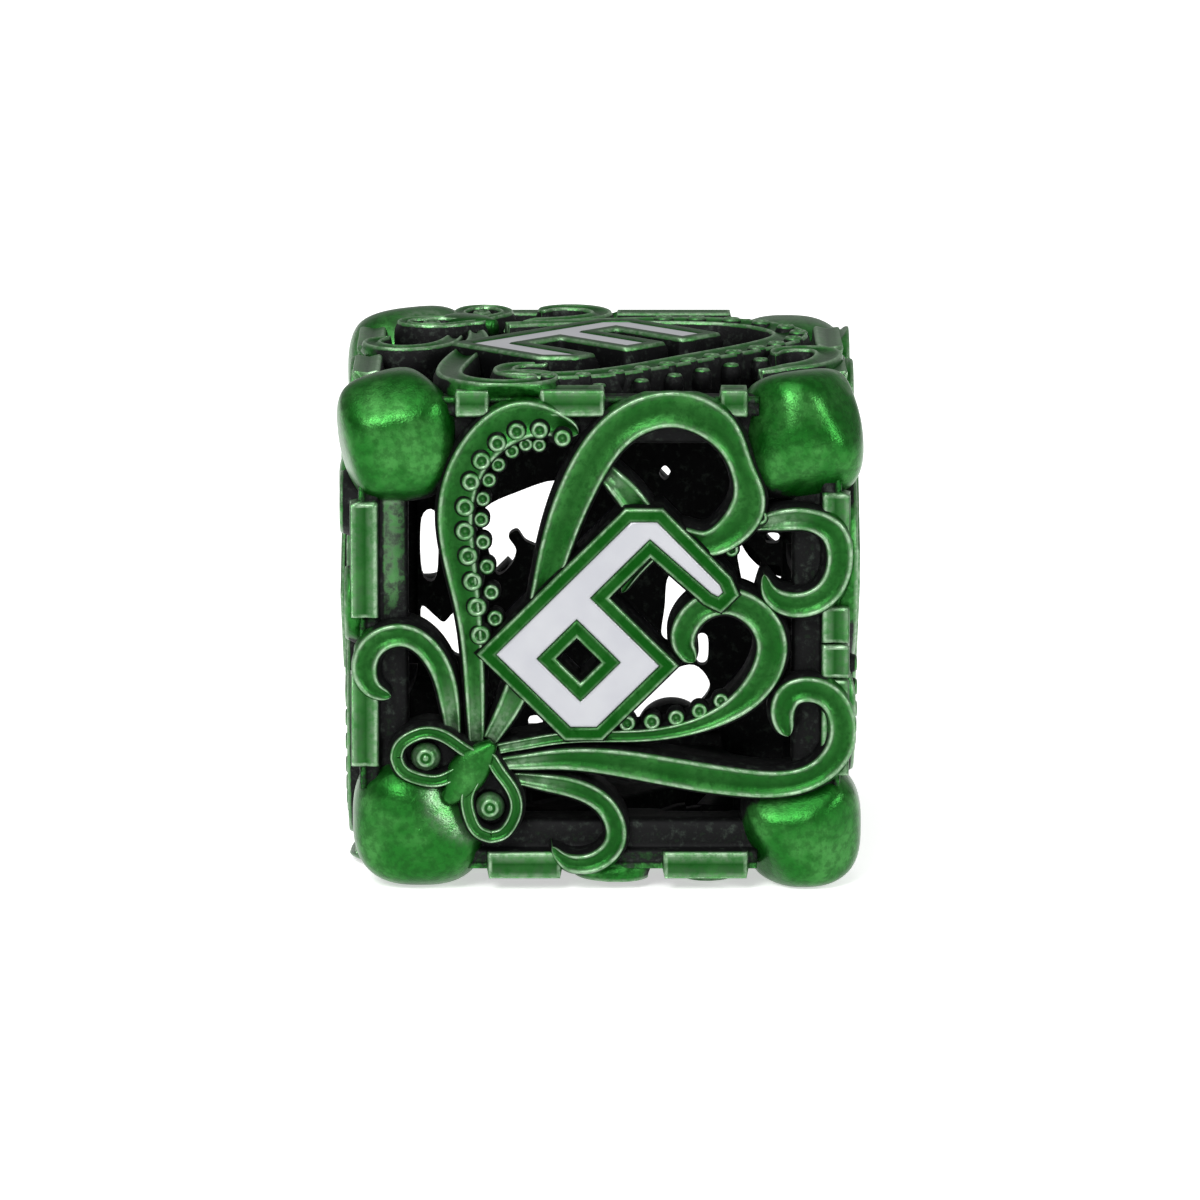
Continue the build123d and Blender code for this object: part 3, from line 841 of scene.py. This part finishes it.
def add_walls(shape, loops, spin, rows):
    """Rings round each loop of a number, moved out and up by each row of (growth, height, ...)."""
    values = np.array([row[2:] for row in rows])
    last = []
    for loop in loops:
        rings = [spread_points(loop, grow(loop, growth)) @ spin for growth, *_ in rows]
        sheet = np.array([at_height(ring, height) for ring, (_, height, *_) in zip(rings, rows)])
        shape.grid(sheet, values[:, 0:1], values[:, 1:2], values[:, 2:3], capped=False)
        last.append(sheet[-1])
    return last


def fill(shape, rings, wash=0.0):
    """A flat face inside the first ring and outside the others."""
    points = np.vstack(rings)
    triangles = tessellate_polygon([[Vector(p) for p in ring] for ring in rings])
    shape.add(points, [list(t) for t in triangles], wash=wash)


def make_numbers():
    """A plate that follows the strokes of each number, with a rounded rim and enamel in its pocket."""
    plate_rows = [  # growth from the enamel's outline, height, wash with painted shade, rub, pool
        (0.0, HALF - 0.4, 1.0, 0.0, 0.0),
        (0.0, HALF - 0.12, 0.8, 0.0, 0.5),
        (0.0, HALF - 0.04, 0.3, 0.1, 0.7),
        (0.04, HALF - 0.01, 0.0, 0.15, 0.9),
        (0.1, HALF, 0.0, 0.0, 1.0),
        (BORDER - 0.12, HALF, 0.0, 0.0, 1.0),
        (BORDER - 0.07, HALF, 0.0, 0.35, 0.6),
        (BORDER - 0.03, HALF - 0.02, 0.0, 0.85, 0.0),
        (BORDER, HALF - 0.08, 0.1, 0.5, 0.0),
        (BORDER + 0.02, HALF - 0.16, 0.9, 0.0, 0.0),
        (BORDER + 0.08, HALF - 0.3, 1.0, 0.0, 0.0),
        (BORDER + 0.08, HALF - PLATE_DEPTH, 1.0, 0.0, 0.0),
        (0.0, HALF - PLATE_DEPTH, 1.0, 0.0, 0.0),
    ]
    enamel_rows = [  # the same values
        (0.0, HALF - 0.35, 1.0, 0.0, 0.0),
        (0.0, HALF - 0.1, 1.0, 0.0, 0.0),
        (-0.03, HALF - 0.055, 0.5, 0.0, 0.0),
        (-0.09, HALF - 0.045, 0.0, 0.0, 0.0),
    ]
    for number, (_, _, turn) in FACES.items():
        turn = math.radians(turn)
        spin = np.array([[math.cos(turn), math.sin(turn)], [-math.sin(turn), math.cos(turn)]])
        loops = number_loops(number)
        plate, enamel = Shape(), Shape()
        back = add_walls(plate, loops, spin, plate_rows)
        # The plate's back, inside the die, is black: painted shade.
        fill(plate, back, wash=1.0)
        front = add_walls(enamel, loops, spin, enamel_rows)
        fill(enamel, front)
        make_piece(
            f"number_plate_look_{number}", plate.placed(number), plate_lacquer, "plate_lacquer",
            f"number_plate_{number}",
        )
        make_piece(
            f"number_enamel_look_{number}", enamel.placed(number), white_enamel, "white_enamel",
            f"number_enamel_{number}",
        )


# --------------------------------------------------------------------------------------------- rails

RAIL_IN = 6.2
BLOCK_IN = 7.15  # inner edge of a rail's block
SHELF = 7.5  # outside of the shelf beside the block
BLOCK_TOP = 8.07
LOW_TOP = 7.8
BLOCK_END = 0.07  # length over which a block rises from the low part of its rail
END_RUB_LENGTH = 0.1  # length over which the lacquer is rubbed at the ends of a block
END_RING = 0.12  # where the first ring of points past that rub lies
RAIL_RINGS = 60
LIT_SHELF_RAIL = "front_left_rail"  # the rail whose shelf gets less painted shade, as painted light, more so towards its top

# Where each rail is raised, as (start, end) along it; the rest lies lower, under the arms
RAISED = {
    "front_left_rail": [(-4.3, -1.3), (0.6, 4.3)],
    "bottom_front_rail": [(-3.6, -1.3), (2.1, 4.75)],
    "front_right_rail": [(-4.6, -1.5), (-1.38, -0.35), (-0.22, 0.9), (3.2, 4.6)],
    "front_top_rail": [(-4.6, -3.6), (-1.9, 0.1), (3.9, 4.7)],
}
RAISED_ELSEWHERE = [(-4.4, -1.3), (0.6, 4.4)]


def rail_half(raised, pale):
    """Half of a rail's section, from the inside out: a shelf, then a dished block."""
    top = LOW_TOP + (BLOCK_TOP - LOW_TOP) * raised
    low = 1 - raised
    # The shelf lies deep and is darkened as painted shade, less so where pale is high; the low stretches
    # under the arms get painted shade too.
    shelf_shade = 0.78 - 0.3 * pale
    return [  # across, height, wash with painted shade, rub, pool
        (RAIL_IN, SHELF - 0.12, 1.0, 0.0, 0.0),
        (RAIL_IN + 0.12, SHELF, shelf_shade + 0.15, 0.3, 0.0),
        (RAIL_IN + 0.45, SHELF, shelf_shade, 0.45, 0.0),
        (BLOCK_IN - 0.2, SHELF, shelf_shade, 0.45, 0.0),
        (BLOCK_IN - 0.08, SHELF, 0.9, 0.0, 0.0),
        (BLOCK_IN - 0.04, SHELF + 0.05, 1.0, 0.0, 0.0),
        (BLOCK_IN - 0.02, top - 0.14, 0.9, 0.0, 0.0),
        (BLOCK_IN + 0.03, top - 0.04, 0.1 + 0.7 * low, 0.6 * raised, 0.0),
        (BLOCK_IN + 0.1, top, 0.7 * low, 0.9 * raised, 0.0),
        (BLOCK_IN + 0.18, top - 0.02, 0.7 * low, 0.3 * raised, 0.3),
        (BLOCK_IN + 0.42, top - 0.08, 0.7 * low, 0.0, 1.0),
        (top - 0.24, top - 0.04, 0.6 * low, 0.1 * raised, 0.5),
        (top - 0.12, top - 0.02, 0.5 * low, 0.4 * raised, 0.0),
        (top - 0.05, top - 0.05, 0.5 * low, 0.4 * raised, 0.0),
    ]


def rail_section(raised, pale):
    """The whole section: across, up and the wash and painted shade, rub and pool of each point."""
    half = rail_half(raised, pale)
    mirrored = [(height, across, *values) for across, height, *values in reversed(half)]
    return np.array([(RAIL_IN, RAIL_IN, 1.0, 0.0, 0.0)] + half + mirrored)


def block_height(place, start, end):
    """How far a rail is raised by a block from start to end, from 0 to 1."""
    return smooth_steps(place, start - BLOCK_END, start) * (1 - smooth_steps(place, end, end + BLOCK_END))


def make_rails():
    """Twelve rails between the corners, each in its CAD rail's place."""
    sides = {"front": (0, -1, 0), "back": (0, 1, 0), "left": (-1, 0, 0), "right": (1, 0, 0)}
    sides.update({"bottom": (0, 0, -1), "top": (0, 0, 1)})
    for name in sorted(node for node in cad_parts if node.endswith("_rail")):
        first, second = (np.array(sides[side], float) for side in name.split("_")[:2])
        along = np.abs(np.cross(first, second))
        low, high = (np.array(corner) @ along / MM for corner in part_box(name))
        blocks = RAISED.get(name, RAISED_ELSEWHERE)
        places = [low, high]
        for start, end in blocks:
            places += [start - BLOCK_END, start, start + END_RING, end - END_RING, end, end + BLOCK_END]
        places = sorted(set(places) | set(np.linspace(low, high, RAIL_RINGS)))
        rows, values = [], []
        for place in places:
            raised = max(block_height(place, start, end) for start, end in blocks)
            at_end = min(abs(place - edge) for block in blocks for edge in block) < END_RUB_LENGTH
            pale = float(smooth_steps(place, 0.0, 2.0)) if name == LIT_SHELF_RAIL else 0.0
            section = rail_section(float(raised), pale)
            rows.append(section[:, :1] * first + section[:, 1:2] * second + along * place)
            value = section[:, 2:]
            end_rub = 0.8 * raised * at_end * (section[:, 0] > BLOCK_IN)
            value[:, 1] = np.maximum(value[:, 1], end_rub)
            values.append(value)
        if np.cross(first, second) @ along < 0:
            rows, values = rows[::-1], values[::-1]
        values = np.array(values)
        shape = Shape()
        shape.grid(np.array(rows), values[..., 0], values[..., 1], values[..., 2])
        make_piece(f"{name}_look", shape, arm_lacquer, "green_lacquer", name)


# ----------------------------------------------------------------------------------------------- web

WEB_INSIDE, WEB_OUTSIDE = 6.1, 6.6

# The windows in the back face's web, each a smooth loop through a few points
WEB_WINDOWS = [
    [(-1.3, 5.55), (-1.2, 6.05), (0.7, 6.05), (0.8, 5.55)],
    [(1.85, 6.05), (2.2, 5.6), (2.4, 5.3), (2.1, 4.9), (3.0, 4.5), (3.6, 4.8), (2.9, 5.6), (2.6, 6.05)],
    [
        (-1.4, 4.0), (-2.05, 2.9), (-2.4, 1.3), (-0.35, 1.7), (-0.35, 2.45), (-0.75, 2.8),
        (-0.55, 3.1), (-0.1, 2.85), (0.4, 3.0), (0.75, 3.5), (-0.3, 3.85),
    ],
    [(-3.0, -2.2), (-2.75, -2.0), (-2.5, -2.2), (-2.75, -2.4)],
    [(-0.25, -4.7), (-0.2, -5.1), (0.3, -5.45), (0.9, -5.3), (1.5, -5.1), (1.3, -4.75)],
    [(-0.65, -5.65), (-0.65, -6.05), (-0.35, -6.05), (-0.35, -5.65)],
    [(0.5, -5.6), (0.5, -6.1), (1.1, -6.1), (1.1, -5.6)],
    [(0.8, -2.35), (1.0, -3.1), (1.7, -3.3), (3.0, -2.5), (2.9, -2.1), (1.9, -2.2)],
    [(3.9, -3.2), (4.6, -3.75), (5.3, -3.3), (5.7, -2.3), (5.8, -1.0), (5.0, -1.0), (4.2, -2.2)],
    [(2.9, -3.3), (2.9, -3.65), (3.8, -3.65), (3.8, -3.3)],
    [(5.7, 2.0), (5.7, 2.4), (6.1, 2.4), (6.1, 2.0)],
]


def smooth_loop(points, per_side=5):
    """A closed curve through these points."""
    points = np.array(points, float)
    t = np.arange(per_side)[:, None] / per_side
    curve = []
    for k in range(len(points)):
        a, b, c, d = (points[(k + i) % len(points)] for i in (-1, 0, 1, 2))
        square = (2 * a - 5 * b + 4 * c - d) * t**2
        cube = (3 * b - a - 3 * c + d) * t**3
        curve.append(0.5 * (2 * b + (c - a) * t + square + cube))
    return np.vstack(curve)


def make_web():
    """The web joins the arms of the back face from inside; it is black all over, as painted shade for the
    dark inside of the die.
    """
    outline = RAIL_IN * np.array([(1.0, -1.0), (1.0, 1.0), (-1.0, 1.0), (-1.0, -1.0)])
    loops = [outline] + [smooth_loop(window)[::-1] for window in WEB_WINDOWS]
    shape = Shape()
    for height, flip in ((WEB_OUTSIDE, False), (WEB_INSIDE, True)):
        before = len(shape.faces)
        fill(shape, [at_height(loop, height) for loop in loops], wash=1.0)
        if flip:
            shape.faces[before:] = [face[::-1] for face in shape.faces[before:]]
    for loop in loops:
        sheet = np.array([at_height(loop, WEB_INSIDE), at_height(loop, WEB_OUTSIDE)])
        shape.grid(sheet, 1.0, 0.0, 0.0, capped=False)
    make_piece("back_web_look", shape.placed(1), arm_lacquer, "green_lacquer", "back_web")


make_arms()
make_suckers()
make_knobs()
make_heads()
make_numbers()
make_rails()
make_web()
